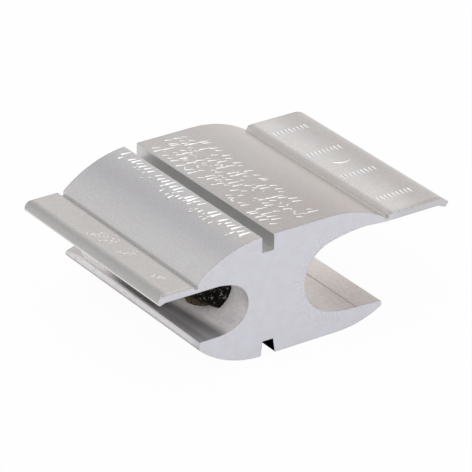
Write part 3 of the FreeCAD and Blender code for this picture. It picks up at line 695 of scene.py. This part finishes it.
def forget(*shapes):
    for shape in shapes:
        bpy.data.objects.remove(shape)


class CONNECTOR_OT_body(bpy.types.Operator):
    """Give the extruded body its finish"""
    bl_idname = "connector.body"
    bl_label = "Extruded body"

    def execute(self, context):
        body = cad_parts["tap_body"]
        body.data.materials.clear()
        body.data.materials.append(aluminium(context.scene.connector_body))
        return {"FINISHED"}


class CONNECTOR_OT_ticks(bpy.types.Operator):
    """Stamp rows of short ticks on the run tab, one row for each crimp"""
    bl_idname = "connector.ticks"
    bl_label = "Crimp ticks"

    def execute(self, context):
        look = context.scene.connector_marks
        shape = straight_ridge("tick_shape", look.length, look.width, look.height)
        first, last = (Vector((TICKS_X, y, RUN_TAB_TOP)) for y in TICKS_Y)
        starts = [first.lerp(last, i / max(1, look.rows - 1)) * MM for i in range(look.rows)]
        turn, worn = (0.0, 0.0, -0.09), 0.0
        mark_field("crimp_ticks", shape, starts, (look.spacing, 0.0, 0.0), look.count, turn, worn, look.seed)
        forget(shape)
        return {"FINISHED"}


class CONNECTOR_OT_dashes(bpy.types.Operator):
    """Stamp worn rows of plain dashes and curls along the crown and the tap shoulder"""
    bl_idname = "connector.dashes"
    bl_label = "Worn dashes"

    def execute(self, context):
        look = context.scene.connector_marks
        length, width = look.dash_length, look.dash_width
        low, high = 0.3 * width, 0.45 * width
        step = (0.0, -look.dash_spacing, 0.0)
        count = int((2.0 * MARKS_START + 1.0) * MM / look.dash_spacing)
        askew = math.pi / 2 - 0.42
        plain = straight_ridge("dash_shape", length, width, low)
        curl = curled_ridge("curl_shape", 0.7 * length, width, low)
        bold = straight_ridge("bold_shape", length, 1.4 * width, high)
        speck = straight_ridge("speck_shape", 0.5 * length, 0.8 * width, low)

        rows = [Vector((x, MARKS_START, CROWN_TOP)) * MM for x in CROWN_ROWS]
        mark_field("crown_dashes", plain, rows, step, count, (0.0, 0.0, askew), look.worn, look.seed)
        between = [Vector((x, MARKS_START - 0.8, CROWN_TOP)) * MM for x in CURL_ROWS]
        mark_field("crown_curls", curl, between, step, count, (0.0, 0.0, 1.2), look.worn + 0.26,
                   look.seed + 7)
        # rows on the shoulder tilt with its arc, and wear away downhill
        for i, (x, mark, fade) in enumerate(((-14.1, bold, 0.65), (-15.7, speck, 0.9), (-16.9, speck, 1.4))):
            tilt = math.asin((SLOT_X - x) / CROWN_RADIUS)
            drop = CROWN_RADIUS * (1 - math.cos(tilt))
            start = Vector((x, MARKS_START - 0.6 * i, CROWN_TOP - drop)) * MM
            mark_field(f"shoulder_dashes_{i}", mark, [start], step, count, (-tilt, 0.0, askew),
                       look.worn * fade, look.seed + i + 1)
        forget(plain, curl, bold, speck)
        return {"FINISHED"}


class CONNECTOR_OT_nicks(bpy.types.Operator):
    """Cut one curved nick in the run tab, and prick the tap tab"""
    bl_idname = "connector.nicks"
    bl_label = "Nick and pricks"

    def execute(self, context):
        look = context.scene.connector_marks
        path = [Vector((x, y, RUN_TAB_TOP)) * MM for x, y in reversed(NICK)]
        mesh = ridge("tab_nick", path, (0.2, 0.9, 1.0, 0.8, 0.2), 0.95 * MM, 0.18 * MM)
        keep(link("tab_nick", mesh, stamped_rim()))

        shape = straight_ridge("prick_shape", 0.56 * MM, 0.28 * MM, 0.08 * MM)
        step, count, turn, worn = (0.22 * MM, -0.42 * MM, 0.0), 8, (0.0, 0.0, 1.2), 0.5
        for i, (x, y) in enumerate(PRICKS):
            starts = [Vector((x + beside, y + ahead, TAP_TAB_TOP)) * MM
                      for beside, ahead in ((-1.1, 0.4), (0.0, -0.3), (1.1, 0.2))]
            mark_field(f"tab_pricks_{i}", shape, starts, step, count, turn, worn, look.seed + i)
        forget(shape)
        return {"FINISHED"}


def grit_on(bead, look):
    """Grains of grit half sunk in the open side of the compound."""
    growth = NodeGrowth("compound_grit")
    density_in = growth.input("Density", "NodeSocketFloat", look.grit / MM ** 2)
    size_in = growth.input("Grain size", "NodeSocketFloat", look.grit_size)
    reach_in = growth.input("Reach", "NodeSocketFloat", (TAP_SEAT_RADIUS - 0.55) * MM)
    seed_in = growth.input("Seed", "NodeSocketInt", look.seed)
    bead_in = growth.input("Bead", "NodeSocketObject", bead)
    skin = growth.node("GeometryNodeObjectInfo", {}, {"Object": bead_in}, "Geometry")
    # grains lie only where the compound is clear of the seat
    apart = growth.node("ShaderNodeVectorMath", {"operation": "SUBTRACT"}, {
        0: growth.node("GeometryNodeInputPosition"),
        1: (TAP_SEAT[0] * MM, 0.0, TAP_SEAT[1] * MM)})
    apart = growth.node("ShaderNodeVectorMath", {"operation": "MULTIPLY"}, {0: apart, 1: (1, 0, 1)})
    apart = growth.node("ShaderNodeVectorMath", {"operation": "LENGTH"}, {0: apart}, "Value")
    free = growth.node("ShaderNodeMath", {"operation": "LESS_THAN"}, {0: apart, 1: reach_in})
    spots = growth.node("GeometryNodeDistributePointsOnFaces", {}, {
        "Mesh": skin, "Selection": free, "Density": density_in, "Seed": seed_in})
    grain = growth.node("GeometryNodeMeshIcoSphere", {}, {"Radius": size_in, "Subdivisions": 1})
    grow = growth.node("FunctionNodeRandomValue", {"data_type": "FLOAT_VECTOR"}, {
        "Min": (0.25, 0.25, 0.2), "Max": (1.0, 0.8, 0.6), "Seed": seed_in})
    spin = growth.node("FunctionNodeRandomValue", {"data_type": "FLOAT_VECTOR"}, {
        "Min": (0, 0, 0), "Max": (6.28, 6.28, 6.28), "Seed": seed_in})
    spin = growth.node("FunctionNodeEulerToRotation", {}, {0: spin})
    placed = growth.node("GeometryNodeInstanceOnPoints", {}, {
        "Points": spots, "Instance": grain, "Rotation": spin, "Scale": grow})
    return growth.harvest("compound_grit", placed, grit())


def even_copy(name, mesh, voxel):
    """A new piece with a node's form, its doubles merged and its faces made small and even."""
    mesh = mesh.copy()
    work = bmesh.new()
    work.from_mesh(mesh)
    bmesh.ops.remove_doubles(work, verts=work.verts, dist=1e-6)
    work.to_mesh(mesh)
    work.free()
    piece = link(name, mesh)
    remesh = piece.modifiers.new("remesh", "REMESH")
    remesh.mode, remesh.voxel_size = "VOXEL", voxel
    graph = bpy.context.evaluated_depsgraph_get()
    dense = bpy.data.meshes.new_from_object(piece.evaluated_get(graph))
    piece.modifiers.clear()
    piece.data = dense
    dense.name = name
    return piece


def knead(mesh, look):
    """Lumps and grain on the compound's open side; what lies on the seat stays where it is."""
    seat_edge, fade = TAP_SEAT_RADIUS - 0.05, 1.2
    shift = Vector((look.seed * 1.7, look.seed * 0.9, 0.0))
    work = bmesh.new()
    work.from_mesh(mesh)
    work.normal_update()
    moves = []
    for vert in work.verts:
        spot = vert.co / MM
        from_axis = math.hypot(spot.x - TAP_SEAT[0], spot.z - TAP_SEAT[1])
        free = min(1.0, max(0.0, (seat_edge - from_axis) / fade))
        if spot.x < TAP_SEAT[0] and not 9.3 < spot.z < 20.2:
            free = 0.0
        lumps = noise.noise(spot * 0.55 + shift) * 1.3 + noise.noise(spot * 1.3 + shift) * 0.7
        grains = noise.noise(spot * 3.4 - shift) + 0.6 * noise.noise(spot * 7.0 + shift)
        moves.append((lumps * look.lump - 0.25 * look.lump + grains * look.grain) * free)
    # the lower edge wavers along the seat: a lobe hangs down, and a dent beside it rises
    along_seat, spread = Vector((0.90, 0.0, 0.43)), 1.5
    for vert, move in zip(work.verts, moves):
        vert.co += vert.normal * move
        for centre, reach, slide in ((Vector((-20.2, -13.0, 9.3)), 2.6, -look.lobe),
                                     (Vector((-18.9, -18.0, 9.8)), 1.5, look.dent)):
            away = vert.co / MM - centre
            vert.co += along_seat * slide * math.exp(
                -(away.x / spread) ** 2 - (away.y / reach) ** 2 - (away.z / spread) ** 2)
    for face in work.faces:
        face.smooth = True
    work.to_mesh(mesh)
    work.free()


class CONNECTOR_OT_bead(bpy.types.Operator):
    """Lay the lumpy joint compound along the tap groove"""
    bl_idname = "connector.bead"
    bl_label = "Joint compound"

    def execute(self, context):
        look = context.scene.connector_bead
        piece = even_copy("joint_compound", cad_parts["inhibitor_bead"].data, 0.22 * MM)
        piece.data.materials.clear()
        piece.data.materials.append(compound())
        knead(piece.data, look)
        keep(grit_on(piece, look))
        keep(piece)
        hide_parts("inhibitor_bead")
        return {"FINISHED"}


def lay_floor(look):
    half, low = 3.0, -0.0001
    mesh = bpy.data.meshes.new("floor")
    mesh.from_pydata([(-half, -half, low), (half, -half, low), (half, half, low), (-half, half, low)],
                     [], [(0, 1, 2, 3)])
    p = Paint(bpy.data.materials.new("floor"))
    pale = p.node("ShaderNodeBsdfDiffuse", {}, {"Color": (look.floor_tone,) * 3 + (1.0,)})
    white = p.node("ShaderNodeEmission", {}, {"Color": (1, 1, 1, 1), "Strength": 1.0})
    # the camera and mirror-like rays see mostly white, with a little of the shaded floor
    seen = (p.node("ShaderNodeLightPath", output="Is Camera Ray") * 0.96
            + p.node("ShaderNodeLightPath", output="Is Glossy Ray") * 0.6)
    p.surface(p.node("ShaderNodeMixShader", {}, {0: seen, 1: pale, 2: white}))
    link("floor", mesh, p.owner)


def fill_room(look):
    """A world that is white to the camera and pale in reflections, with a softer band overhead."""
    p = Paint(bpy.data.worlds.new("studio"))
    direct = p.node("ShaderNodeLightPath", output="Is Camera Ray")
    mirrored = p.node("ShaderNodeLightPath", output="Is Glossy Ray")
    _, _, high = p.parts(p.node("ShaderNodeTexCoord", output="Generated"))
    band = look.mirror_light * (1.0 - high.within(0.56, 0.84, 0.08) * 0.30)
    room, glow, white = (p.node("ShaderNodeBackground", {}, {"Color": (1, 1, 1, 1), "Strength": strength})
                         for strength in (look.room_light, band, 1.0))
    lit = p.node("ShaderNodeMixShader", {}, {0: mirrored, 1: room, 2: glow})
    return p.surface(p.node("ShaderNodeMixShader", {}, {0: direct, 1: lit, 2: white}),
                     "ShaderNodeOutputWorld")


def hang_lamp(name, spot, power, width):
    """A soft round lamp that points at the connector."""
    lamp = bpy.data.lights.new(name, "AREA")
    lamp.shape, lamp.size, lamp.energy = "DISK", width, power
    holder = bpy.data.objects.new(name, lamp)
    bpy.context.scene.collection.objects.link(holder)
    turn = (Vector((0, 0, 0.015)) - spot).to_track_quat("-Z", "Y")
    holder.matrix_world = Matrix.Translation(spot) @ turn.to_matrix().to_4x4()


def set_camera(look):
    """The photograph's view, towards the middle of the connector."""
    middle = Vector((0.00005, 0.0, 0.01508))
    a, e = look.azimuth, look.elevation
    back = Vector((math.sin(a) * math.cos(e), -math.cos(a) * math.cos(e), math.sin(e)))
    camera = bpy.data.cameras.new("camera")
    camera.sensor_width, camera.lens = 36.0, look.lens
    camera.clip_start, camera.clip_end = 0.05, 20.0
    holder = bpy.data.objects.new("camera", camera)
    bpy.context.scene.collection.objects.link(holder)
    turn = (-back).to_track_quat("-Z", "Y").to_matrix().to_4x4()
    spot = middle + back * look.distance
    holder.matrix_world = Matrix.Translation(spot) @ turn @ Matrix.Rotation(look.roll, 4, "Z")
    bpy.context.scene.camera = holder


class CONNECTOR_OT_stage(bpy.types.Operator):
    """Set the floor, the lights and the camera"""
    bl_idname = "connector.stage"
    bl_label = "Stage"

    def execute(self, context):
        scene, look = context.scene, context.scene.connector_stage
        scene.view_settings.view_transform = "Standard"
        lay_floor(look)
        scene.world = fill_room(look)
        hang_lamp("lamp_over", Vector((-0.15, 0.10, 0.80)), 1.6, 1.1)
        hang_lamp("lamp_front", Vector((-0.35, -0.80, 0.35)), 1.2, 1.3)
        set_camera(look)
        return {"FINISHED"}


class CONNECTOR_PT_panel(bpy.types.Panel):
    """The connector's sizes and colours, and its pieces"""
    bl_idname = "CONNECTOR_PT_panel"
    bl_label = "Tap connector"
    bl_space_type = "VIEW_3D"
    bl_region_type = "UI"
    bl_category = "Tap connector"

    def draw(self, context):
        for group, kind in GROUPS.items():
            box = self.layout.box()
            for prop in kind.__annotations__:
                box.prop(getattr(context.scene, group), prop)
        for maker in MAKERS:
            self.layout.operator(maker.bl_idname)


GROUPS = {"connector_body": BodyLook, "connector_marks": MarkLook,
          "connector_bead": BeadLook, "connector_stage": StageLook}
MAKERS = (CONNECTOR_OT_body, CONNECTOR_OT_ticks, CONNECTOR_OT_dashes, CONNECTOR_OT_nicks,
          CONNECTOR_OT_bead, CONNECTOR_OT_stage)


def register():
    for kind in (*GROUPS.values(), *MAKERS, CONNECTOR_PT_panel):
        bpy.utils.register_class(kind)
    for group, kind in GROUPS.items():
        setattr(bpy.types.Scene, group, PointerProperty(type=kind))


def unregister():
    for group in GROUPS:
        delattr(bpy.types.Scene, group)
    for kind in reversed((*GROUPS.values(), *MAKERS, CONNECTOR_PT_panel)):
        bpy.utils.unregister_class(kind)


def main():
    register()
    bpy.ops.connector.body()
    bpy.ops.connector.ticks()
    bpy.ops.connector.dashes()
    bpy.ops.connector.nicks()
    bpy.ops.connector.bead()
    bpy.ops.connector.stage()


if __name__ == "__main__":
    main()
